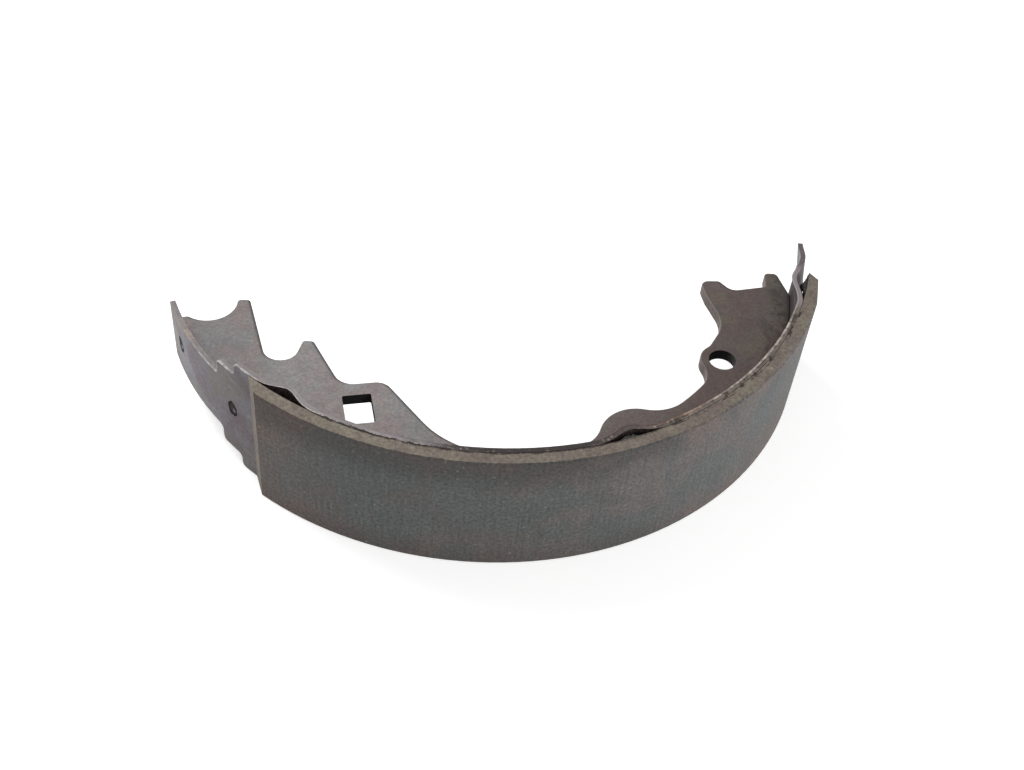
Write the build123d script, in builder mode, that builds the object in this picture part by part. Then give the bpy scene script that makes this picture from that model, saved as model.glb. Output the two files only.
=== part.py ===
from build123d import *
from math import atan2, cos, degrees, hypot, radians, sin
import os

# Brake shoe for a drum brake: a pressed steel web, a rolled steel table across
# it and a friction lining bonded to the table.
#
# Millimetres. The origin is on the drum's axis, at the middle of the lining's
# width. +Z runs along that axis, and +X passes beside the seat at the plain end
# of the table. Angles are measured about +Z from -Y, positive towards +X. The
# web's corners are set out by depth below the table and by angle.

# Whole shoe
drum_radius = 100.0
shoe_width = 40.6

# Friction lining: one bevel at the stepped end, a bevel and a long taper at the plain end
lining_thickness = 3.9
lining_start = -38.1
lining_end = 80.6
bevel_angle = 3.5
end_bevel_height = 2.9
end_bevel_angle = 1.5
end_taper_angle = 6.0
lining_edge = 0.4

# Adhesive film under the lining
bond_thickness = 0.15
bond_inset = 0.5

# Table: its stepped end springs out a little from the drum's circle
table_thickness = 1.5
table_start = -66.2
table_end = 88.5
spring_start = -39.0
spring_middle = 0.45
spring_end = 0.75
first_step_angle = -46.6
first_step_setback = 9.9
second_step_angle = -41.8
second_step_setback = 4.5
step_fillet = 1.6
tip_corner = 0.8
end_corner = 1.5

# Nibs: places where both edges of the table are pressed in, clear of the lining.
# Each is a run of (angle, share of the depth) along the edge, from the plain table on.
nib_reach = 8.0
nib_depth = 3.0
nib_1 = [(-37.2, 0.0), (-33.9, 0.37), (-31.3, 0.92), (-28.7, 0.44), (-25.2, 0.0)]
nib_2 = [(18.9, 0.0), (22.6, 0.37), (25.7, 0.85), (28.3, 0.35), (31.3, 0.0)]
nib_3 = [(71.9, 0.0), (75.2, 0.46), (78.6, 1.08), (81.8, 0.64), (85.0, 0.32), (88.5, 0.5)]

# Web: the strip along the table
web_thickness = 3.5
web_strip = 14.45
web_overhang = 1.75
web_end = 87.0
web_corner = 1.6
web_die_roll = 0.4

# Web, stepped end: round seat, first lug, round notch, second lug, shoulder and slope
seat_radius = 8.45
seat_depth = 9.25
seat_angle = -70.5
seat_outer_fillet = 1.5
seat_lug_fillet = 1.0
first_lug_depth = 17.5
first_lug_width = 3.6
first_lug_angle = -69.5
notch_depth = 15.95
notch_angle = -49.85
notch_rise = 5.8
notch_radius = 4.8
second_lug_depth = 28.75
second_lug_width = 2.35
second_lug_angle = -50.35
lug_radius = 1.1
shoulder_depth = 24.9
shoulder_angle = -32.8
shoulder_radius = 5.6
plate_depth = 33.1
plate_angle = -24.75
plate_radius = 4.7
slope_end = 0.5
slope_blend = 27.0

# Web: window for a lever or a spring, and the swell half way along
window_length = 10.8
window_width = 8.1
window_corner = 0.5
window_depth = 20.15
window_angle = -25.2
window_turn = 13.5
swell_radius = 11.5
swell_depth = 10.6
swell_angle = 33.5
swell_left_blend = 10.5
swell_right_blend = 12.5

# Web, plain end: boss with the hold-down hole, neck, head, flat seat and horn
hole_diameter = 8.0
hole_depth = 14.6
hole_angle = 63.0
boss_radius = 6.5
boss_strip_blend = 8.0
boss_neck_blend = 5.0
neck_depth = 18.8
neck_angle = 74.15
neck_radius = 12.0
throat_depth = 25.9
throat_angle = 83.05
throat_radius = 8.0
head_depth = 27.9
head_angle = 88.7
head_width = 6.05
head_radius = 2.4
flat_seat_depth = 18.0
flat_seat_angle = 86.3
flat_seat_radius = 3.5
flat_seat_corner = 0.7
horn_depth = 7.5
horn_angle = 88.8
horn_width = 4.3
horn_tip_angle = 93.1
horn_radius = 1.5

# Radii that follow from the sizes above
lining_inner = drum_radius - lining_thickness
table_outer = lining_inner - bond_thickness
table_inner = table_outer - table_thickness
web_outer = table_inner
web_inner = web_outer - web_strip
strip_middle = web_outer - web_strip / 2

# Angle where the web ends, past the table's tip
web_start = table_start - degrees(web_overhang / web_outer)


def polar(radius, angle):
    """The point at a radius from the drum's axis and an angle from -Y."""
    return (radius * sin(radians(angle)), -radius * cos(radians(angle)))


def below(depth, angle):
    """The point at a depth below the table's inner face."""
    return polar(web_outer - depth, angle)


def arc(radius, start, end):
    """An arc about the drum's axis."""
    return CenterArc((0, 0), radius, start - 90, end - start)


def profile(radius, end):
    """The table's line at a radius, from its stepped end on."""
    middle = (table_start + spring_start) / 2
    ThreePointArc(
        polar(radius + spring_end, table_start),
        polar(radius + spring_middle, middle),
        polar(radius, spring_start),
    )
    return arc(radius, spring_start, end)


def sector(inner, outer, start, end):
    """A sector of a ring about the drum's axis."""
    with BuildSketch(mode=Mode.PRIVATE) as ring:
        with BuildLine():
            arc(outer, start, end)
            arc(inner, start, end)
            Line(polar(inner, start), polar(outer, start))
            Line(polar(inner, end), polar(outer, end))
        make_face()
    return ring.sketch


def corners_at(sketch, centre, radius):
    """The corners of a sketch that lie on a circle, in order of their angle from -Y."""
    found = [
        corner
        for corner in sketch.vertices()
        if abs(hypot(corner.X - centre[0], corner.Y - centre[1]) - radius) < 0.01
    ]
    return sorted(found, key=lambda corner: atan2(corner.X, -corner.Y))


# ---- Lining: a ring sector whose rubbing face falls away at both ends
with BuildPart() as lining:
    taper_start = lining_end - end_bevel_angle - end_taper_angle
    with BuildSketch(Plane.XY.offset(-shoe_width / 2)):
        with BuildLine():
            arc(lining_inner, lining_start, lining_end)
            arc(drum_radius, lining_start + bevel_angle, taper_start)
            Line(polar(lining_inner, lining_start), polar(drum_radius, lining_start + bevel_angle))
            Polyline(
                polar(lining_inner, lining_end),
                polar(lining_inner + end_bevel_height, lining_end - end_bevel_angle),
                polar(drum_radius, taper_start),
            )
        make_face()
    extrude(amount=shoe_width)
    rubbing_face = lining.faces().filter_by(GeomType.CYLINDER).sort_by(SortBy.RADIUS)[-1]
    chamfer(rubbing_face.edges().filter_by(GeomType.CIRCLE), length=lining_edge)

# ---- Adhesive film, set in a little from the lining's edges
with BuildPart() as adhesive:
    margin = degrees(bond_inset / lining_inner)
    with BuildSketch(Plane.XY.offset(-shoe_width / 2 + bond_inset)):
        add(sector(table_outer, lining_inner, lining_start + margin, lining_end - margin))
    extrude(amount=shoe_width - 2 * bond_inset)

# ---- Nibs at the table's upper edge: each runs from the plain section to the pressed one
with BuildPart() as nibs:
    for run in (nib_1, nib_2, nib_3):
        first, last = run[0], run[-1]
        with BuildSketch(Plane.XY.offset(shoe_width / 2 - nib_reach)):
            add(sector(table_inner, table_outer, first[0], last[0]))
        with BuildSketch(Plane.XY.offset(shoe_width / 2)):
            with BuildLine():
                for face_radius in (table_inner, table_outer):
                    Spline(
                        [polar(face_radius - share * nib_depth, angle) for angle, share in run],
                        tangents=[
                            (cos(radians(first[0])), sin(radians(first[0]))),
                            (cos(radians(last[0])), sin(radians(last[0]))),
                        ],
                    )
                for angle, share in (first, last):
                    depth = share * nib_depth
                    Line(polar(table_inner - depth, angle), polar(table_outer - depth, angle))
            make_face()
        loft(ruled=True)

# ---- Table: a rolled strip, narrowed in two steps at one end, with the nibs in both edges
with BuildPart() as table:
    with BuildSketch(Plane.XY.offset(-shoe_width / 2)):
        with BuildLine():
            profile(table_inner, table_end)
            profile(table_outer, table_end)
            Line(
                polar(table_inner + spring_end, table_start),
                polar(table_outer + spring_end, table_start),
            )
            Line(polar(table_inner, table_end), polar(table_outer, table_end))
        make_face()
    extrude(amount=shoe_width)
    for step_angle, setback in (
        (first_step_angle, first_step_setback),
        (second_step_angle, second_step_setback),
    ):
        with BuildSketch(Plane.XY.offset(shoe_width / 2 - setback)):
            add(sector(table_inner - 2, table_outer + 3, table_start - 2, step_angle))
        shelf = extrude(amount=shoe_width, mode=Mode.SUBTRACT)
        mirror(about=Plane.XY, objects=shelf, mode=Mode.SUBTRACT)

    # Corners of the narrow tip, of the plain end and of the steps between
    for end, radius in ((0, tip_corner), (-1, end_corner)):
        across = table.edges().filter_by(GeomType.LINE).filter_by(Axis.Z, reverse=True)
        fillet(across.group_by(Axis.X)[end], radius=radius)
    across = table.edges().filter_by(GeomType.LINE).filter_by(Axis.Z, reverse=True)
    fillet(across.filter_by(lambda edge: abs(edge.length - table_thickness) < 0.01), radius=step_fillet)

    for run in (nib_1, nib_2, nib_3):
        with BuildSketch(Plane.XY.offset(shoe_width / 2 - nib_reach)):
            add(sector(table_inner - 1, table_outer + 1, run[0][0], run[-1][0] + (run is nib_3)))
        pocket = extrude(amount=shoe_width, mode=Mode.SUBTRACT)
        mirror(about=Plane.XY, objects=pocket, mode=Mode.SUBTRACT)
    add(nibs.part)
    mirror(about=Plane.XY, objects=nibs.part)

# ---- Web: a strip along the table with a plate at each end of it
with BuildPart() as web:
    with BuildSketch(Plane.XY.offset(-web_thickness / 2)) as outline:
        # Swell half way along, kept inside the table
        with Locations(below(swell_depth, swell_angle)):
            Circle(swell_radius)
        Circle(web_outer, mode=Mode.INTERSECT)

        # Strip along the table
        with BuildLine():
            profile(web_outer, web_end)
            Line(polar(web_outer, web_end), polar(web_inner, web_end))
            arc(web_inner, table_start, web_end)
            Line(polar(web_inner, table_start), polar(web_outer + spring_end, table_start))
        make_face()

        # Plate at the stepped end, then the round seat in it
        with BuildLine():
            FilletPolyline(
                polar(strip_middle, table_start),
                polar(web_outer + spring_end, table_start),
                polar(web_outer + spring_end, web_start),
                below(seat_depth - seat_radius / 2, web_start),
                below(first_lug_depth, first_lug_angle),
                below(first_lug_depth + first_lug_width, first_lug_angle + 0.8),
                below(notch_depth, notch_angle),
                below(notch_depth + notch_rise, notch_angle + 3.85),
                below(second_lug_depth, second_lug_angle),
                below(second_lug_depth + second_lug_width, second_lug_angle + 1.75),
                below(shoulder_depth, shoulder_angle),
                below(plate_depth, plate_angle),
                polar(strip_middle, slope_end),
                radius=[
                    0,
                    web_corner,
                    0,
                    0,
                    lug_radius,
                    notch_radius,
                    notch_radius,
                    lug_radius,
                    lug_radius,
                    shoulder_radius,
                    plate_radius,
                ],
            )
            arc(strip_middle, table_start, slope_end)
        make_face()
        with Locations(below(seat_depth, seat_angle)):
            Circle(seat_radius, mode=Mode.SUBTRACT)

        # Boss round the hold-down hole
        with Locations(below(hole_depth, hole_angle)):
            Circle(boss_radius)

        # Plate at the plain end
        with BuildLine():
            FilletPolyline(
                below(hole_depth + 0.83 * boss_radius, hole_angle - 2.2),
                below(neck_depth, neck_angle),
                below(throat_depth, throat_angle),
                below(head_depth, head_angle),
                below(head_depth - head_width, head_angle + 0.6),
                below(flat_seat_depth, flat_seat_angle),
                below(horn_depth, horn_angle),
                below(horn_depth - 0.4, horn_tip_angle),
                below(horn_depth - horn_width, horn_tip_angle - 0.1),
                polar(web_outer, web_end),
                radius=[
                    neck_radius,
                    throat_radius,
                    head_radius,
                    head_radius * 0.6,
                    flat_seat_radius,
                    flat_seat_corner,
                    horn_radius,
                    horn_radius,
                ],
            )
            Line(polar(web_outer, web_end), polar(strip_middle, web_end - 6))
            arc(strip_middle, web_end - 6, hole_angle - 6)
            Line(
                polar(strip_middle, hole_angle - 6),
                below(hole_depth + 0.83 * boss_radius, hole_angle - 2.2),
            )
        make_face()

        # Blends at the seat's two ends, along the strip's inner edge and above the boss
        seat_centre = below(seat_depth, seat_angle)
        hole_centre = below(hole_depth, hole_angle)
        seat_ends = corners_at(outline, seat_centre, seat_radius)
        strip_ends = corners_at(outline, (0, 0), web_inner)
        boss_ends = corners_at(outline, hole_centre, boss_radius)
        blends = (
            (seat_ends[-1], seat_outer_fillet),
            (seat_ends[0], seat_lug_fillet),
            (strip_ends[0], slope_blend),
            (strip_ends[1], swell_left_blend),
            (strip_ends[2], swell_right_blend),
            (strip_ends[3], boss_strip_blend),
            (boss_ends[-1], boss_neck_blend),
        )
        for corner, radius in blends:
            fillet(outline.vertices().sort_by_distance(corner)[0], radius=radius)

        # Square window and round hold-down hole
        with Locations(Location(below(window_depth, window_angle), window_turn)):
            RectangleRounded(window_width, window_length, window_corner, mode=Mode.SUBTRACT)
        with Locations(hole_centre):
            Circle(hole_diameter / 2, mode=Mode.SUBTRACT)
    extrude(amount=web_thickness)
    fillet(web.faces().sort_by(Axis.Z)[-1].outer_wire().edges(), radius=web_die_roll)

os.makedirs("parts", exist_ok=True)
lining.part.label = "lining"
adhesive.part.label = "adhesive"
table.part.label = "table"
web.part.label = "web"
export_step(lining.part, "parts/lining.step")
export_step(adhesive.part, "parts/adhesive.step")
export_step(table.part, "parts/table.step")
export_step(web.part, "parts/web.step")
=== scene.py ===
import math

import bmesh
import bpy
from mathutils import Matrix, Vector, noise


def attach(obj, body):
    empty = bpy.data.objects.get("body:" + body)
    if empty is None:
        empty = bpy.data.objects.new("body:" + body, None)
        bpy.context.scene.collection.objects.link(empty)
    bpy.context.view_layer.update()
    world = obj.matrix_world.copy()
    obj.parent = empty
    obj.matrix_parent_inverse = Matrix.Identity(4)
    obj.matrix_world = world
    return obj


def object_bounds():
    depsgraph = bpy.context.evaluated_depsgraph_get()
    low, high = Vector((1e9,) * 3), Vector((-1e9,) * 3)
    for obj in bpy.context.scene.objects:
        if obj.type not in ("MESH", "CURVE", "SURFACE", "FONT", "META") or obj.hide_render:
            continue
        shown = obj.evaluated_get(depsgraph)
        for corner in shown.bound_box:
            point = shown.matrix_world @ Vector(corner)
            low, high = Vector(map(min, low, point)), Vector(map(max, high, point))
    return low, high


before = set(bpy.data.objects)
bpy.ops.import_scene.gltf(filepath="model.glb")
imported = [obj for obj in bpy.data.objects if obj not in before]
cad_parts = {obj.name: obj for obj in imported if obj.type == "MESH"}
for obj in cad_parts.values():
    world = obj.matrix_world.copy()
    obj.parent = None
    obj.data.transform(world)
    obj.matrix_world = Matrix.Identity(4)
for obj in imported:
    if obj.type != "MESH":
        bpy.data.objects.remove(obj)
cad_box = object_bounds()

# Metres and degrees. The origin is on the drum's axis, at the middle of the width. Angles are
# measured about Z from -Y: negative towards the stepped end, positive towards the plain end.
RUBBING_RADIUS = 0.1
LINING_INSIDE = 0.0961
TABLE_OUTSIDE = 0.09595

# The window and the hold-down hole in the web: centre, and a radius that takes in the edge
WEB_OPENINGS = ((-0.03164, -0.06723, 0.0075), (0.07115, -0.03625, 0.0049))

# The weld marks on the table's free end: angle and level
WELD_MARKS = ((-43.1, 0.0012), (-60.9, 0.0010))
WELD_HALF_ANGLE = 0.86
WELD_HALF_HEIGHT = 0.002


# ---------------------------------------------------------------- shader helpers
class Graph:
    """A material's node tree, with short calls for the nodes used below."""

    def __init__(self, name):
        self.material = bpy.data.materials.new(name)
        self.material.use_nodes = True
        self.tree = self.material.node_tree
        self.shader = self.tree.nodes["Principled BSDF"]
        place = self.node("ShaderNodeTexCoord")
        self.point = place.outputs["Object"]
        self.x, self.y, self.z = self.parts(self.point)
        self.nx, self.ny, self.nz = self.parts(place.outputs["Normal"])
        self.flat = self.absolute(self.nz)

        # Radius from the drum's axis, angle from -Y, and the point on the unrolled part
        self.radius = self.length(self.x, self.y)
        turn = self.math("ARCTAN2", self.x, self.times(self.y, -1.0))
        self.angle = self.times(turn, 180.0 / math.pi)
        unrolled = self.node("ShaderNodeCombineXYZ")
        self.link(self.times(turn, RUBBING_RADIUS), unrolled.inputs[0])
        self.link(self.z, unrolled.inputs[1])
        self.link(self.radius, unrolled.inputs[2])
        self.unrolled = unrolled.outputs[0]

    def node(self, kind, **settings):
        made = self.tree.nodes.new(kind)
        for key, value in settings.items():
            setattr(made, key, value)
        return made

    def link(self, source, target):
        self.tree.links.new(source, target)

    def put(self, target, value):
        """Give a socket its value: a link from another socket, a number or a colour."""
        if isinstance(value, bpy.types.NodeSocket):
            self.link(value, target)
        elif isinstance(value, tuple) and target.type == "RGBA":
            target.default_value = (*value, 1.0)
        else:
            target.default_value = value

    def parts(self, vector):
        """The X, Y and Z of a vector."""
        split = self.node("ShaderNodeSeparateXYZ")
        self.link(vector, split.inputs[0])
        return split.outputs[0], split.outputs[1], split.outputs[2]

    def math(self, operation, a, b=None, clamp=False):
        made = self.node("ShaderNodeMath", operation=operation, use_clamp=clamp)
        for socket, value in zip(made.inputs, (a, b)):
            if value is not None:
                self.put(socket, value)
        return made.outputs[0]

    def plus(self, a, b, clamp=False):
        return self.math("ADD", a, b, clamp)

    def minus(self, a, b):
        return self.math("SUBTRACT", a, b)

    def times(self, first, *others):
        product = first
        for other in others:
            product = self.math("MULTIPLY", product, other)
        return product

    def absolute(self, value):
        return self.math("ABSOLUTE", value)

    def length(self, a, b):
        return self.math("SQRT", self.plus(self.times(a, a), self.times(b, b)))

    def uneven(self, value, waves, amount):
        """A value moved up and down by a noise, each way by at most half the amount."""
        return self.plus(value, self.times(self.minus(waves, 0.5), amount))

    def step(self, value, low, high, bottom=0.0, top=1.0):
        """A smooth step from bottom to top as value goes from low to high, either way round."""
        made = self.node("ShaderNodeMapRange", interpolation_type="SMOOTHSTEP")
        made.inputs["From Min"].default_value = low
        made.inputs["From Max"].default_value = high
        made.inputs["To Min"].default_value = bottom
        made.inputs["To Max"].default_value = top
        self.put(made.inputs["Value"], value)
        return made.outputs["Result"]

    def span(self, value, low, full, last, high):
        """A factor that rises from low to full, and falls again from last to high."""
        return self.times(self.step(value, low, full), self.step(value, high, last))

    def scaled(self, vector, scale):
        made = self.node("ShaderNodeMapping")
        self.put(made.inputs["Vector"], vector)
        made.inputs["Scale"].default_value = scale
        return made.outputs["Vector"]

    def noise(self, vector, scale, detail=4.0, rough=0.55, distortion=0.0):
        """Noise from 0 to 1. The scale is one number, or one for each axis."""
        if isinstance(scale, tuple):
            vector, scale = self.scaled(vector, scale), 1.0
        made = self.node("ShaderNodeTexNoise")
        self.put(made.inputs["Vector"], vector)
        made.inputs["Scale"].default_value = scale
        made.inputs["Detail"].default_value = detail
        made.inputs["Roughness"].default_value = rough
        made.inputs["Distortion"].default_value = distortion
        return made.outputs["Fac"]

    def specks(self, scale, size, share):
        """Sparse round specks: size is a share of the cell, share is how many cells have one."""
        cells = self.node("ShaderNodeTexVoronoi")
        self.put(cells.inputs["Vector"], self.unrolled)
        cells.inputs["Scale"].default_value = scale
        near = self.step(cells.outputs["Distance"], size, size * 0.5)
        split = self.node("ShaderNodeSeparateColor")
        self.link(cells.outputs["Color"], split.inputs[0])
        chosen = self.math("LESS_THAN", split.outputs[0], share)
        return self.times(near, self.times(chosen, split.outputs[1]))

    def mix(self, factor, a, b, blend="MIX"):
        """A mix of two colours, or of two numbers."""
        if not any(isinstance(v, (tuple, bpy.types.NodeSocketColor)) for v in (a, b)):
            made = self.node("ShaderNodeMix", data_type="FLOAT")
            for socket, value in zip(made.inputs[:1] + made.inputs[2:4], (factor, a, b)):
                self.put(socket, value)
            return made.outputs[0]
        made = self.node("ShaderNodeMix", data_type="RGBA", blend_type=blend)
        self.put(made.inputs["Factor"], factor)
        self.put(made.inputs[6], a)
        self.put(made.inputs[7], b)
        return made.outputs[2]

    def tint(self, factor, colour, by):
        """A colour, and as much as the factor says, that colour times another."""
        return self.mix(factor, colour, self.mix(1.0, colour, by, "MULTIPLY"))

    def shade(self, colour, factor):
        """A colour times a number."""
        grey = self.node("ShaderNodeCombineColor")
        for socket in grey.inputs:
            self.put(socket, factor)
        return self.mix(1.0, colour, grey.outputs[0], "MULTIPLY")

    def outward(self, nx, ny):
        """How far a normal points away from the drum's axis, from -1 to 1."""
        away = self.plus(self.times(nx, self.x), self.times(ny, self.y))
        return self.math("DIVIDE", away, self.radius)

    def corners(self, radius, low=0.998, high=0.9):
        """1 at a corner and 0 beyond the radius, and the rounded normal's X and outward parts."""
        rounded = self.node("ShaderNodeBevel", samples=6)
        rounded.inputs["Radius"].default_value = radius
        shape = self.node("ShaderNodeNewGeometry")
        compare = self.node("ShaderNodeVectorMath", operation="DOT_PRODUCT")
        self.link(rounded.outputs["Normal"], compare.inputs[0])
        self.link(shape.outputs["True Normal"], compare.inputs[1])
        nx, ny, _ = self.parts(rounded.outputs["Normal"])
        return self.step(compare.outputs["Value"], low, high), nx, self.outward(nx, ny)

    def bump(self, height, distance, strength=1.0, soften=0.0):
        """A bumpy normal, which also rounds the mesh's edges over the radius soften."""
        made = self.node("ShaderNodeBump")
        made.inputs["Strength"].default_value = strength
        made.inputs["Distance"].default_value = distance
        self.put(made.inputs["Height"], height)
        if soften:
            edge = self.node("ShaderNodeBevel", samples=4)
            edge.inputs["Radius"].default_value = soften
            self.link(edge.outputs["Normal"], made.inputs["Normal"])
        return made.outputs["Normal"]

    def finish(self, colour, roughness, normal, specular):
        self.put(self.shader.inputs["Base Color"], colour)
        self.put(self.shader.inputs["Roughness"], roughness)
        self.put(self.shader.inputs["Normal"], normal)
        self.shader.inputs["Specular IOR Level"].default_value = specular
        return self.material


# ---------------------------------------------------------------- patterns that materials share
def glue_blotches(g):
    """Noise of the glue that reached the table's side, on the table, the film and the lining."""
    return g.noise(g.unrolled, (230.0, 300.0, 560.0), 3.0, 0.65)


def glue_breaks(g, least):
    """Breaks in the line of glue, on the table and the lining, from 1 down to the least."""
    breaks = g.noise(g.unrolled, (120.0, 120.0, 400.0), 4.0, 0.8)
    return g.step(breaks, 0.42, 0.5, least, 1.0)


def steel_grain(g, vector):
    """Fine grain of phosphated steel: a brightness factor and a height."""
    fine = g.noise(vector, 1150.0, 3.0, 0.75)
    middle = g.noise(vector, 420.0, 4.0, 0.6)
    factor = g.times(
        g.step(fine, 0.25, 0.75, 0.76, 1.24), g.step(middle, 0.25, 0.75, 0.9, 1.1)
    )
    return factor, g.plus(g.times(fine, 0.8), g.times(middle, 0.5))


def weld_mark(g, angle, level):
    """A small oval left by a projection weld: its dark rim and its hollow, each 0 to 1."""
    across = g.math("DIVIDE", g.minus(g.angle, angle), WELD_HALF_ANGLE)
    along = g.math("DIVIDE", g.minus(g.z, level), WELD_HALF_HEIGHT)
    wobble = g.times(g.minus(g.noise(g.unrolled, 700.0, 3.0), 0.5), 0.9)
    reach = g.plus(g.length(across, along), wobble)

    # The light middle lies off the centre, so the rim is thicker on one side
    inner = g.length(g.minus(across, 0.4), g.plus(along, 0.22))
    inner = g.plus(inner, g.times(wobble, 0.6))
    rim = g.times(g.step(reach, 1.4, 1.28), g.step(inner, 0.3, 0.42))
    return rim, g.step(reach, 1.0, 0.7)


# ---------------------------------------------------------------- lining
def lining_face(g, blotch, cloud, grit, streak, pale):
    """Rubbing face: grey, browner along its edges and at its ends, lighter to the plain end."""
    near_grey, near_brown = (0.105, 0.11, 0.108), (0.13, 0.109, 0.102)
    far_sheen_grey, far_sheen_brown = (0.152, 0.156, 0.157), (0.194, 0.162, 0.148)
    stepped_end_tint = (1.2, 1.11, 1.07)
    fleck_colour, pale_colour = (0.3, 0.29, 0.27), (0.62, 0.6, 0.56)

    # Lighter towards the plain end: a painted sheen, the grazing reflection of the white
    # surroundings
    far = g.step(g.uneven(g.angle, blotch, 60.0), 8.0, 58.0)
    brown = g.plus(
        g.step(blotch, 0.42, 0.62, -0.15, 0.45), g.step(g.absolute(g.z), 0.009, 0.0195, 0.0, 0.55)
    )
    brown = g.plus(brown, g.step(g.angle, -24.0, -37.0, 0.0, 0.5), clamp=True)
    near_face = g.mix(brown, near_grey, near_brown)
    far_sheen_face = g.mix(brown, far_sheen_grey, far_sheen_brown)
    face = g.mix(far, near_face, far_sheen_face)
    face = g.tint(g.step(g.angle, -18.0, -31.0), face, stepped_end_tint)
    face = g.shade(face, g.step(cloud, 0.3, 0.7, 0.88, 1.12))
    face = g.shade(face, g.step(streak, 0.3, 0.7, 0.9, 1.1))
    face = g.shade(face, g.step(grit, 0.25, 0.75, 0.66, 1.34))

    # Darker along the upper and the lower edge, except towards the plain end
    upper = g.step(g.uneven(g.z, cloud, 0.012), 0.007, 0.0175, 1.0, 0.64)
    lower = g.step(g.z, -0.011, -0.018, 1.0, 0.9)
    face = g.shade(face, g.mix(far, g.times(upper, lower), 1.0))
    face = g.mix(g.times(g.specks(640.0, 0.3, 0.16), 0.5), face, fleck_colour)
    return g.mix(pale, face, pale_colour)


def lining_body(g, grit, pores):
    """Sides and ends: the moulded body of the compound, olive and tan."""
    olive, tan = (0.2, 0.175, 0.138), (0.168, 0.137, 0.118)
    pore_colour, bit_colour = (0.06, 0.045, 0.035), (0.4, 0.36, 0.31)

    cloud = g.noise(g.unrolled, 150.0, 5.0, 0.65)
    body = g.mix(g.step(cloud, 0.38, 0.62), olive, tan)
    body = g.shade(body, g.step(grit, 0.25, 0.75, 0.7, 1.3))
    body = g.shade(body, g.step(g.angle, -30.0, 40.0, 1.1, 0.96))
    body = g.mix(g.times(pores, 0.8), body, pore_colour)
    return g.mix(g.times(g.specks(540.0, 0.26, 0.12), 0.7), body, bit_colour)


def lining_material():
    glue_colour, inner_side_colour = (0.024, 0.016, 0.014), (0.022, 0.016, 0.015)

    g = Graph("friction_lining")
    blotch = g.noise(g.unrolled, 52.0, 3.0, 0.55, 0.5)
    cloud = g.noise(g.unrolled, 135.0, 5.0, 0.65)
    grit = g.noise(g.unrolled, 1100.0, 3.0, 0.7)
    streak = g.noise(g.unrolled, (1300.0, 60.0, 200.0), 4.0, 0.65)
    pale = g.specks(330.0, 0.1, 0.09)
    pores = g.specks(760.0, 0.34, 0.2)
    outward = g.outward(g.nx, g.ny)

    # The face's dark glaze reaches over the worn edge in small chips
    reach = g.uneven(g.radius, g.noise(g.unrolled, 420.0, 4.0, 0.7), 0.0008)
    side = g.times(g.step(g.flat, 0.85, 0.97), g.step(reach, 0.09958, 0.09944))
    end = g.times(g.step(outward, 0.985, 0.96), g.step(g.flat, 0.5, 0.3))
    on_body = g.math("MAXIMUM", side, end)
    face = lining_face(g, blotch, cloud, grit, streak, pale)
    colour = g.mix(on_body, face, lining_body(g, grit, pores))

    # Glue along the inner edge: a broken line, and patches along the seam of the plain end
    seam = g.step(g.angle, 26.0, 36.0)
    patchy = g.step(glue_blotches(g), 0.51, 0.58)
    creep = g.uneven(g.radius, g.noise(g.unrolled, 380.0, 5.0, 0.75), 0.0018)
    creep = g.minus(creep, g.times(patchy, 0.0003, seam))
    glue = g.times(
        g.step(creep, LINING_INSIDE + 0.0006, LINING_INSIDE + 0.0002),
        g.span(g.angle, -27.0, -24.0, 71.0, 76.0),
        g.mix(seam, glue_breaks(g, 0.35), patchy),
    )
    colour = g.mix(g.times(glue, 0.92), colour, glue_colour)
    colour = g.mix(g.step(outward, -0.5, -0.8), colour, inner_side_colour)

    height = g.plus(g.times(grit, 0.8), g.plus(g.times(streak, 0.5), g.times(pale, 0.4)))
    height = g.minus(height, g.times(pores, on_body))
    rough = g.step(cloud, 0.2, 0.8, 0.66, 0.88)
    return g.finish(colour, rough, g.bump(height, 0.00008, 0.7, 0.00012), 0.3)


# ---------------------------------------------------------------- adhesive
def adhesive_material():
    dark, light = (0.012, 0.009, 0.008), (0.06, 0.05, 0.044)
    crust_colour, dust_colour = (0.29, 0.305, 0.275), (0.26, 0.22, 0.185)

    g = Graph("bond")
    lumps = g.noise(g.unrolled, 900.0, 4.0, 0.65)
    colour = g.mix(g.step(lumps, 0.35, 0.7), dark, light)

    # A grey-green crust on the beads in the middle gap
    crust = g.step(g.noise(g.unrolled, 620.0, 4.0, 0.7), 0.42, 0.56)
    crust = g.times(crust, g.span(g.angle, 22.0, 24.0, 30.0, 32.0), 0.85)
    colour = g.mix(crust, colour, crust_colour)

    # Dust of the lining covers the glue in places along the seam
    dusty = g.times(
        g.step(glue_blotches(g), 0.55, 0.48),
        g.step(g.flat, 0.2, 0.5),
        g.span(g.angle, 28.0, 36.0, 72.0, 76.0),
    )
    colour = g.mix(dusty, colour, dust_colour)
    return g.finish(colour, g.step(lumps, 0.3, 0.7, 0.4, 0.8), g.bump(lumps, 0.0001), 0.4)


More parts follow.
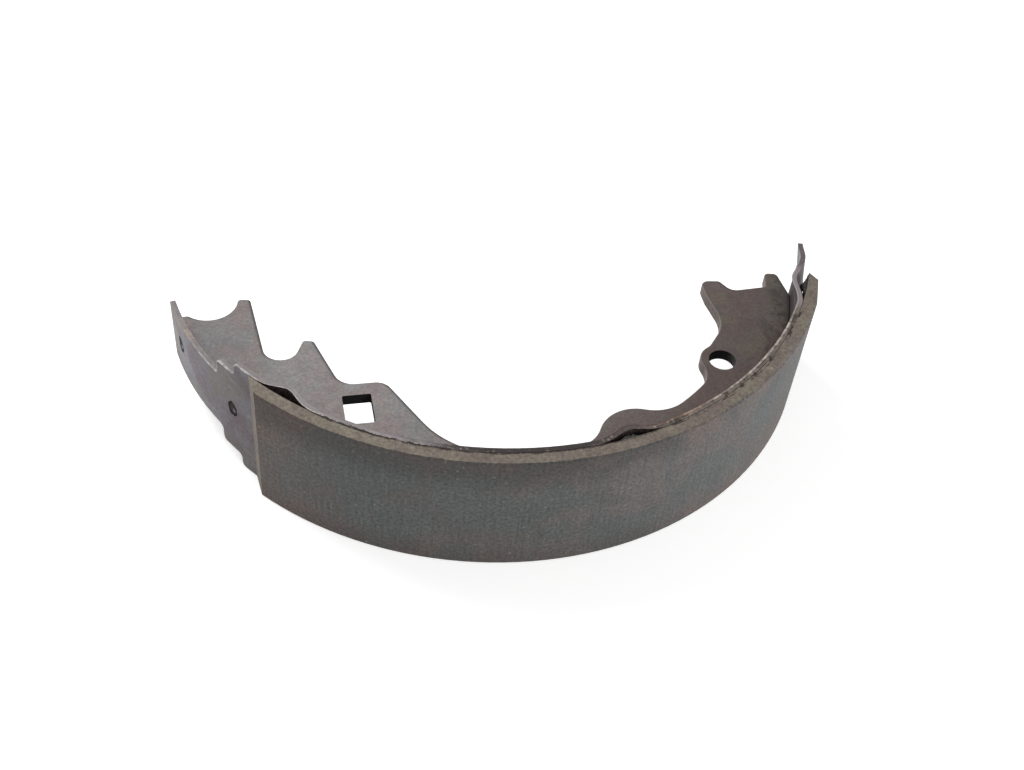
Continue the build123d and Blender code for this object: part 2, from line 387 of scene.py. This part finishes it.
# ---------------------------------------------------------------- table
def table_steel(g, cloud):
    """Both sides of the table before rust and glue: violet-grey steel, lighter at the tip."""
    grey, violet = (0.149, 0.144, 0.163), (0.138, 0.108, 0.122)
    tarnish_colour, tip_tint = (0.138, 0.122, 0.104), (1.58, 1.64, 1.7)
    stain_colour, rub_colour = (0.085, 0.072, 0.072), (0.27, 0.27, 0.285)

    tarnish = g.step(g.noise(g.unrolled, 64.0, 3.0, 0.6), 0.48, 0.6, 0.0, 0.75)
    stains = g.step(g.noise(g.unrolled, 210.0, 4.0, 0.7), 0.58, 0.68, 0.0, 0.5)
    rub = g.step(g.noise(g.unrolled, (90.0, 420.0, 90.0), 4.0, 0.7), 0.58, 0.7, 0.0, 0.5)
    colour = g.mix(g.step(cloud, 0.38, 0.62), grey, violet)
    colour = g.mix(tarnish, colour, tarnish_colour)
    colour = g.tint(g.step(g.angle, -46.0, -66.0), colour, tip_tint)
    colour = g.mix(stains, colour, stain_colour)
    return g.mix(rub, colour, rub_colour)


def table_glue(g, colour, glued, outward):
    """Glue under the lining, and painted shade on the inner side towards the plain end."""
    black, brown = (0.012, 0.009, 0.009), (0.05, 0.031, 0.029)
    inner_shade_tint, free_lit_colour = (0.4, 0.34, 0.34), (0.26, 0.272, 0.265)

    crazed = g.step(g.noise(g.unrolled, 850.0, 3.0, 0.7), 0.48, 0.6)
    colour = g.mix(glued, colour, g.mix(crazed, black, brown))

    # Painted shade on the inner side towards the plain end, and painted light at the upper corner
    # of the plain end
    inner_side = g.step(outward, -0.3, -0.6)
    free = g.times(g.step(g.angle, 77.0, 84.0), g.step(g.z, 0.005, 0.014))
    painted_inner_shade = g.times(inner_side, g.step(g.angle, 10.0, 50.0), g.minus(1.0, free))
    colour = g.tint(painted_inner_shade, colour, inner_shade_tint)
    colour = g.mix(g.times(free, inner_side, 0.8), colour, free_lit_colour)

    # Beyond the lining's plain end
    beyond = g.times(g.step(g.angle, 80.4, 81.2), g.step(outward, 0.1, 0.4))
    return g.shade(colour, g.mix(beyond, 1.0, 0.6))


def table_edge(g, patches, smear, ragged):
    """Sheared edges: bare at the stepped end, brown and black with glue from the middle on."""
    bare_light, bare_dark = (0.25, 0.225, 0.225), (0.19, 0.165, 0.165)
    brown_light, brown_dark = (0.118, 0.09, 0.086), (0.07, 0.053, 0.05)
    tan_light, tan_dark = (0.2, 0.165, 0.137), (0.132, 0.106, 0.09)
    burr_light, burr_dark = (0.56, 0.49, 0.44), (0.26, 0.215, 0.185)
    burr_tint, hook_colour = (0.66, 0.5, 0.4), (0.03, 0.021, 0.018)
    plain_light, plain_dark = (0.25, 0.215, 0.222), (0.11, 0.086, 0.092)
    smear_colour, line_colour = (0.02, 0.014, 0.013), (0.024, 0.016, 0.016)
    pale_colour, bit_colour = (0.4, 0.35, 0.355), (0.5, 0.43, 0.35)
    flank_highlight_colour, teeth_colour = (0.4, 0.37, 0.36), (0.5, 0.46, 0.44)

    split = g.uneven(g.radius, patches, 0.0008)
    coarse = g.step(patches, 0.4, 0.62)
    bare = g.mix(coarse, bare_light, bare_dark)
    brown = g.mix(coarse, brown_light, brown_dark)
    tan = g.mix(coarse, tan_light, tan_dark)

    # Beside the seam: tan steel outside, a pale burr inside, and dark hooks of glue
    burr = g.mix(g.step(patches, 0.4, 0.6), burr_light, burr_dark)
    burr = g.tint(g.step(g.angle, 46.0, 34.0), burr, burr_tint)
    beside = g.mix(g.step(split, 0.09502, 0.09486), tan, burr)
    hooks = g.times(g.step(glue_blotches(g), 0.51, 0.57), g.step(split, 0.09485, 0.0952))
    beside = g.mix(g.times(hooks, 0.9), beside, hook_colour)
    last = g.mix(g.step(g.angle, 80.5, 83.0), plain_light, plain_dark)
    beside = g.mix(g.step(g.angle, 69.0, 73.0), beside, last)
    right = g.mix(g.step(g.angle, 26.0, 34.0), brown, beside)
    edge = g.mix(g.step(g.angle, -12.0, 8.0), bare, right)

    # Smears of glue, most in the middle
    middle = g.span(g.angle, -8.0, 2.0, 26.0, 34.0)
    cover = g.plus(g.times(middle, 0.1), g.step(g.angle, 70.0, 76.0, 0.03, -0.3))
    smeared = g.times(
        g.step(g.plus(smear, cover), 0.5, 0.58),
        g.step(g.angle, -16.0, 0.0),
        g.mix(g.step(g.angle, 17.0, 24.0), 1.0, 0.3),
    )
    edge = g.mix(g.times(smeared, 0.95), edge, smear_colour)

    # A pale burr to the left of the middle, the ragged line of glue, and bits of dried glue
    pale = g.times(
        g.span(g.angle, -26.0, -24.0, -9.0, -4.0),
        g.step(split, 0.0949, 0.09515),
        g.step(patches, 0.4, 0.55),
    )
    edge = g.mix(g.times(pale, 0.6), edge, pale_colour)
    edge = g.mix(g.times(ragged, 0.95), edge, line_colour)
    bits = g.times(g.specks(700.0, 0.4, 0.24), g.step(g.angle, -12.0, 4.0))
    edge = g.mix(bits, edge, bit_colour)

    # A painted highlight on the first nib's flank, and the steps are bright along their outer
    # half
    flank_highlight = g.span(g.angle, -31.2, -30.2, -26.0, -24.5)
    edge = g.mix(g.times(flank_highlight, 0.25), edge, flank_highlight_colour)
    teeth = g.times(g.span(g.angle, -48.5, -46.5, -37.0, -33.5), g.step(split, 0.0952, 0.0957))
    teeth = g.times(teeth, g.step(patches, 0.38, 0.58, 0.15, 0.65))
    return g.mix(teeth, edge, teeth_colour)


def table_corners(g, colour, patches, glued, ragged, on_edge):
    """Painted highlights, partly bare worn metal, along the outer corners, and two lines along
    the inner ones.
    """
    bare, inner_light, inner_dark = (0.82, 0.78, 0.75), (0.5, 0.44, 0.45), (0.02, 0.014, 0.014)

    corner, _, corner_out = g.corners(0.0008)
    # A painted highlight along the outer corners, partly bare worn metal
    worn_and_highlit = g.times(
        corner,
        g.step(patches, 0.38, 0.58, 0.12, 1.0),
        g.step(g.angle, -58.0, -49.0, 0.2, 1.0),
        g.step(corner_out, 0.1, 0.4, 0.15, 1.0),
        g.minus(1.0, glued),
        g.mix(g.step(g.angle, -6.0, 6.0), 1.0, 0.12),
        g.minus(1.0, g.times(ragged, on_edge)),
        g.mix(g.step(g.angle, -25.5, -23.0), 1.0, 0.35),
    )
    colour = g.mix(worn_and_highlit, colour, bare)

    # A light line towards the plain end, and a dark one at the middle pair of nibs
    inner_corner = g.times(corner, g.step(corner_out, -0.08, -0.35), on_edge)
    lit = g.times(inner_corner, g.span(g.angle, 66.0, 72.0, 80.0, 82.5), 0.8)
    colour = g.mix(lit, colour, inner_light)
    shut = g.times(inner_corner, g.span(g.angle, 16.0, 20.0, 31.0, 34.0), 0.85)
    return g.mix(shut, colour, inner_dark)


def table_material():
    rust_brown, rust_pale = (0.27, 0.18, 0.13), (0.42, 0.35, 0.29)
    weld_rim_colour, weld_hollow_colour = (0.004, 0.003, 0.004), (0.1, 0.09, 0.095)

    g = Graph("table_steel")
    grain, height = steel_grain(g, g.unrolled)
    cloud = g.noise(g.unrolled, 90.0, 4.0, 0.6, 0.3)
    colour = table_steel(g, cloud)

    # Rust near the narrow tip
    rust = g.span(g.angle, -62.0, -60.5, -55.5, -53.5)
    rust = g.times(rust, g.step(g.noise(g.unrolled, 330.0, 4.0, 0.7), 0.45, 0.55))
    rust_colour = g.mix(g.step(g.noise(g.unrolled, 800.0), 0.4, 0.6), rust_brown, rust_pale)
    colour = g.mix(g.times(rust, g.step(g.z, 0.006, 0.015), 0.75), colour, rust_colour)
    colour = g.shade(colour, grain)

    # Oval marks of two welds to the web, on the outer side
    outward = g.outward(g.nx, g.ny)
    outside = g.step(outward, 0.0, 0.5)
    (rim_a, hollow_a), (rim_b, hollow_b) = (weld_mark(g, *mark) for mark in WELD_MARKS)
    rims = g.times(g.plus(rim_a, rim_b, clamp=True), outside)
    hollows = g.times(g.plus(hollow_a, hollow_b), outside)
    colour = g.mix(rims, colour, weld_rim_colour)
    colour = g.mix(g.times(hollows, 0.35), colour, weld_hollow_colour)

    glued = g.times(g.step(outward, 0.3, 0.6), g.span(g.angle, -38.0, -37.4, 79.8, 80.4))
    colour = table_glue(g, colour, glued, outward)

    # Sheared edges, with a ragged line of glue from the first nib to the middle one
    patches = g.noise(g.unrolled, 480.0, 4.0, 0.7)
    smear = g.noise(g.unrolled, (240.0, 900.0, 1500.0), 5.0, 0.75)
    ragged = g.uneven(g.radius, g.noise(g.unrolled, 260.0, 4.0, 0.75), 0.0034)
    ragged = g.times(
        g.step(ragged, TABLE_OUTSIDE - 0.0004, TABLE_OUTSIDE - 0.00015),
        g.span(g.angle, -25.5, -23.0, 18.0, 22.0),
        glue_breaks(g, 0.2),
    )
    edge = table_edge(g, patches, smear, ragged)
    edge = g.mix(g.times(rust, 0.6), edge, rust_colour)
    on_edge = g.step(g.flat, 0.75, 0.9)
    colour = g.mix(on_edge, colour, edge)
    colour = table_corners(g, colour, patches, glued, ragged, on_edge)

    height = g.plus(height, g.times(smear, g.times(on_edge, 2.0)))
    height = g.minus(height, g.times(hollows, 3.0))
    rough = g.mix(rims, g.step(cloud, 0.2, 0.8, 0.46, 0.62), 1.0)
    return g.finish(colour, rough, g.bump(height, 0.00008, 0.6, 0.0002), 0.3)


# ---------------------------------------------------------------- web
def web_faces(g, patch):
    """The web's faces: grey and pink steel, darker towards the plain end, painted shade by the
    table.
    """
    grey, pink = (0.257, 0.245, 0.246), (0.268, 0.226, 0.219)
    far_tint, smudge_colour = (0.465, 0.395, 0.37), (0.135, 0.118, 0.092)
    blot_colour, smear_colour = (0.035, 0.027, 0.026), (0.05, 0.038, 0.034)

    cloud = g.noise(g.point, 85.0, 4.0, 0.6, 0.4)
    colour = g.mix(g.step(cloud, 0.4, 0.6), grey, pink)
    colour = g.shade(colour, g.step(patch, 0.3, 0.7, 0.9, 1.1))
    colour = g.shade(colour, g.step(g.x, -0.052, -0.072, 1.0, 0.8))
    far = g.step(g.x, -0.02, 0.075)
    colour = g.tint(far, colour, far_tint)
    smudge = g.step(g.noise(g.point, 95.0, 3.0, 0.6), 0.46, 0.62, 0.0, 0.5)
    colour = g.mix(g.times(far, smudge), colour, smudge_colour)

    # Darker along the table: painted contact shade with some stain, and blots and smears towards
    # the plain end
    near = g.uneven(g.radius, g.noise(g.point, 300.0), 0.007)
    left_shade_and_stain = g.step(near, 0.091, 0.0955, 1.0, 0.86)
    right_shade_and_stain = g.step(near, 0.0885, 0.0945, 1.0, 0.52)
    colour = g.shade(colour, g.mix(far, left_shade_and_stain, right_shade_and_stain))
    scuffs = g.noise(g.point, (500.0, 120.0, 300.0), 5.0, 0.75)
    colour = g.shade(colour, g.step(scuffs, 0.6, 0.75, 1.0, 1.18))
    blots = g.step(g.noise(g.point, 260.0, 4.0, 0.75), 0.48, 0.6)
    blots = g.times(blots, g.step(near, 0.0865, 0.0925), far, 0.7)
    colour = g.mix(blots, colour, blot_colour)
    smears = g.step(g.noise(g.point, (230.0, 95.0, 100.0), 4.0, 0.65), 0.5, 0.6)
    smears = g.times(smears, g.step(near, 0.0835, 0.0895), far, 0.6)
    return g.mix(smears, colour, smear_colour)


def web_material():
    roll_shade_colour, roll_highlight_colour = (0.02, 0.016, 0.016), (0.36, 0.35, 0.34)
    hole_shade_colour, hole_lit_colour = (0.009, 0.008, 0.008), (0.05, 0.048, 0.05)

    g = Graph("web_steel")
    grain, height = steel_grain(g, g.point)
    patch = g.noise(g.point, 190.0, 4.0, 0.6)
    colour = g.shade(web_faces(g, patch), grain)

    inside = 0.0
    for x, y, reach in WEB_OPENINGS:
        gap = g.length(g.minus(g.x, x), g.minus(g.y, y))
        inside = g.plus(inside, g.math("LESS_THAN", gap, reach))

    # Die roll: painted shade on the side that faces the plain end, and a painted highlight on the
    # other
    roll = g.times(g.step(g.flat, 0.97, 0.85), g.step(g.flat, 0.2, 0.5))
    corner, corner_x, _ = g.corners(0.0015, 0.9992, 0.985)
    corner = g.times(corner, g.step(corner_x, 0.03, 0.14))
    shaded_roll = g.math("MAXIMUM", corner, g.times(roll, g.step(g.nx, 0.05, 0.3)))
    shaded_roll = g.times(shaded_roll, g.times(g.minus(1.0, inside), 0.92))
    colour = g.mix(shaded_roll, colour, roll_shade_colour)
    colour = g.mix(g.times(roll, g.step(g.nx, -0.05, -0.3, 0.0, 0.35)), colour, roll_highlight_colour)

    # Punched walls: streaked through the thickness; inside the window and the hole, painted
    # shade, less dark as painted light on the walls that face the stepped end
    wall = g.step(g.flat, 0.5, 0.3)
    tears = g.noise(g.point, (900.0, 900.0, 90.0), 3.0, 0.6)
    wall_colour = g.shade(colour, g.step(tears, 0.3, 0.7, 0.9, 1.3))
    hole_wall_shade = g.mix(g.step(g.nx, -0.35, -0.95), hole_shade_colour, hole_lit_colour)
    wall_colour = g.mix(g.times(inside, 0.97), wall_colour, hole_wall_shade)
    colour = g.mix(wall, colour, wall_colour)
    rough = g.mix(g.times(wall, inside), g.step(patch, 0.2, 0.8, 0.5, 0.66), 1.0)
    return g.finish(colour, rough, g.bump(height, 0.00007, 0.5, 0.00015), 0.28)


MAKERS = {
    "lining": lining_material,
    "adhesive": adhesive_material,
    "table": table_material,
    "web": web_material,
}
for name, maker in MAKERS.items():
    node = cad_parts[name]
    node.data.materials.clear()
    node.data.materials.append(maker())

# ---------------------------------------------------------------- beads of adhesive
# The gaps that the nibs leave: name, first and last angle, and the beads' thickness and lumpiness
GAPS = (
    ("stepped", -35.4, -26.4, 0.0002, 1.2),
    ("middle", 22.4, 27.8, 0.0015, 0.35),
    ("plain", 75.4, 80.4, 0.0008, 0.9),
)
GAP_RINGS, GAP_SIDES = 90, 12
THINNEST = 0.0001

# The seam between the table and the lining: first and last angle, radius and level
SEAM = (31.0, 72.5)
SEAM_RADIUS, SEAM_LEVEL = 0.096025, 0.02011
SEAM_RINGS, SEAM_SIDES = 300, 8


def wave(x, y, z):
    return noise.noise(Vector((x, y, z)))


def tube(name, path, sides, rough, seed):
    """A closed tube along rings of (angle, radius, level, size), with an uneven skin."""
    mesh = bmesh.new()
    loops = []
    for i, (angle, centre, level, size) in enumerate(path):
        loop = []
        for j in range(sides):
            turn = 2.0 * math.pi * j / sides
            bumps = wave(i * 0.45, math.cos(turn), math.sin(turn) + seed)
            reach = size * (1.0 + rough * bumps)
            radius = centre + reach * math.cos(turn)
            height = level + reach * 1.3 * math.sin(turn)
            place = (radius * math.sin(angle), -radius * math.cos(angle), height)
            loop.append(mesh.verts.new(place))
        loops.append(loop)
    for one, two in zip(loops, loops[1:]):
        for j in range(sides):
            k = (j + 1) % sides
            mesh.faces.new((one[j], one[k], two[k], two[j]))
    mesh.faces.new(loops[0][::-1])
    mesh.faces.new(loops[-1])
    bmesh.ops.recalc_face_normals(mesh, faces=mesh.faces)
    for face in mesh.faces:
        face.smooth = True
    data = bpy.data.meshes.new(name)
    mesh.to_mesh(data)
    mesh.free()
    bead = bpy.data.objects.new(name, data)
    bpy.context.collection.objects.link(bead)
    data.materials.append(bpy.data.materials["bond"])
    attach(bead, "root")


def squeezed_bead(name, first, last, thickness, lumpy, side, seed):
    """A bead on the lining's inner face, along one gap between two angles."""
    path = []
    for i in range(GAP_RINGS):
        share = i / (GAP_RINGS - 1)
        angle = math.radians(first + (last - first) * share)
        swell = math.sin(math.pi * share) ** 2.0
        size = THINNEST + thickness * swell * (1.0 + lumpy * wave(share * 9.0, seed, 0.0))
        wander = 0.0005 * lumpy * wave(share * 6.0, seed + 5.0, 3.0)
        level = side * (0.0194 - 1.1 * size + wander)
        path.append((angle, TABLE_OUTSIDE - size * 0.35, level, size))
    tube(name, path, GAP_SIDES, 0.35, seed)


def seam_bead(name, first, last, side, seed):
    """Adhesive that fills the narrow seam between the table and the lining."""
    path = []
    for i in range(SEAM_RINGS):
        angle = math.radians(first + (last - first) * i / (SEAM_RINGS - 1))
        size = 0.00011 + 0.00003 * wave(i * 0.21, seed, 0.0)
        path.append((angle, SEAM_RADIUS, side * SEAM_LEVEL, size))
    tube(name, path, SEAM_SIDES, 0.2, seed)


for number, (where, *shape) in enumerate(GAPS):
    squeezed_bead("squeeze_" + where + "_upper", *shape, 1.0, 3.1 + number)
    squeezed_bead("squeeze_" + where + "_lower", *shape, -1.0, 7.4 + number)
seam_bead("seam_upper", *SEAM, 1.0, 1.7)
seam_bead("seam_lower", *SEAM, -1.0, 2.9)


# ---------------------------------------------------------------- floor and light
def seen_by(tree, first, *others):
    """1 for rays of any of these kinds, else 0."""
    rays = tree.nodes.new("ShaderNodeLightPath")
    seen = rays.outputs[first]
    for kind in others:
        either = tree.nodes.new("ShaderNodeMath")
        either.operation = "MAXIMUM"
        tree.links.new(seen, either.inputs[0])
        tree.links.new(rays.outputs[kind], either.inputs[1])
        seen = either.outputs[0]
    return seen


bpy.ops.mesh.primitive_plane_add(size=8.0, location=(0.0, 0.0, cad_box[0][2]))
floor = bpy.context.object
floor.name = "floor"
paper = bpy.data.materials.new("floor")
paper.use_nodes = True
tree = paper.node_tree
base = tree.nodes["Principled BSDF"]
base.inputs["Base Color"].default_value = (0.94, 0.94, 0.94, 1.0)
base.inputs["Roughness"].default_value = 0.95
base.inputs["Specular IOR Level"].default_value = 0.1
base.inputs["Emission Color"].default_value = (1.0, 1.0, 1.0, 1.0)

# Seen by the camera the paper is lit up to white, more so far out, with the part's shadow kept
place = tree.nodes.new("ShaderNodeTexCoord")
distance = tree.nodes.new("ShaderNodeVectorMath")
distance.operation = "LENGTH"
tree.links.new(place.outputs["Object"], distance.inputs[0])
fade = tree.nodes.new("ShaderNodeMapRange")
fade.interpolation_type = "SMOOTHSTEP"
fade.inputs["From Min"].default_value = 0.35
fade.inputs["From Max"].default_value = 1.2
fade.inputs["To Min"].default_value = 0.55
fade.inputs["To Max"].default_value = 0.8
tree.links.new(distance.outputs["Value"], fade.inputs["Value"])
glow = tree.nodes.new("ShaderNodeMath")
glow.operation = "MULTIPLY"
tree.links.new(seen_by(tree, "Is Camera Ray", "Is Glossy Ray"), glow.inputs[0])
tree.links.new(fade.outputs["Result"], glow.inputs[1])
tree.links.new(glow.outputs[0], base.inputs["Emission Strength"])
floor.data.materials.append(paper)

# The world is white to look at, and a weaker light on the part
world = bpy.data.worlds.new("studio")
bpy.context.scene.world = world
world.use_nodes = True
tree = world.node_tree
sky = tree.nodes["Background"]
sky.inputs["Color"].default_value = (1.0, 1.0, 1.0, 1.0)
seen = seen_by(tree, "Is Camera Ray", "Is Glossy Ray", "Is Transmission Ray")
strength = tree.nodes.new("ShaderNodeMapRange")
strength.inputs["To Min"].default_value = 0.32
strength.inputs["To Max"].default_value = 1.0
tree.links.new(seen, strength.inputs["Value"])
tree.links.new(strength.outputs["Result"], sky.inputs["Strength"])


def lamp(name, place, target, size, power):
    data = bpy.data.lights.new(name, "AREA")
    data.size = size
    data.energy = power
    obj = bpy.data.objects.new(name, data)
    bpy.context.collection.objects.link(obj)
    obj.location = place
    aim = Vector(target) - Vector(place)
    obj.rotation_euler = aim.to_track_quat("-Z", "Y").to_euler()


lamp("key", (-0.45, 0.35, 0.65), (-0.02, -0.05, 0.0), 0.45, 5.0)
lamp("fill", (0.65, -0.75, 0.45), (0.0, -0.05, 0.0), 0.7, 4.6)

# ---------------------------------------------------------------- camera
CAMERA_PLACE = (0.0, -0.3232216, 0.2759152)
YAW, PITCH, ROLL = 0.0372576, 0.7929556, 0.1056358
FOCAL_PIXELS, WIDTH_PIXELS = 1362.82, 1024.0
SENSOR_WIDTH = 36.0

view = Vector(
    (math.sin(YAW) * math.cos(PITCH), math.cos(YAW) * math.cos(PITCH), -math.sin(PITCH))
)
level_right = Vector((math.cos(YAW), -math.sin(YAW), 0.0))
level_up = level_right.cross(view)
right = level_right * math.cos(ROLL) + level_up * math.sin(ROLL)
up = level_up * math.cos(ROLL) - level_right * math.sin(ROLL)
camera_data = bpy.data.cameras.new("camera")
camera_data.sensor_width = SENSOR_WIDTH
camera_data.sensor_fit = "HORIZONTAL"
camera_data.lens = FOCAL_PIXELS / WIDTH_PIXELS * SENSOR_WIDTH
camera_data.clip_start = 0.01
camera = bpy.data.objects.new("camera", camera_data)
bpy.context.collection.objects.link(camera)
turn = Matrix((right, up, -view)).transposed()
camera.matrix_world = Matrix.Translation(CAMERA_PLACE) @ turn.to_4x4()
bpy.context.scene.camera = camera
bpy.context.scene.view_settings.view_transform = "Standard"

# ---------------------------------------------------------------- end
bpy.context.view_layer.update()
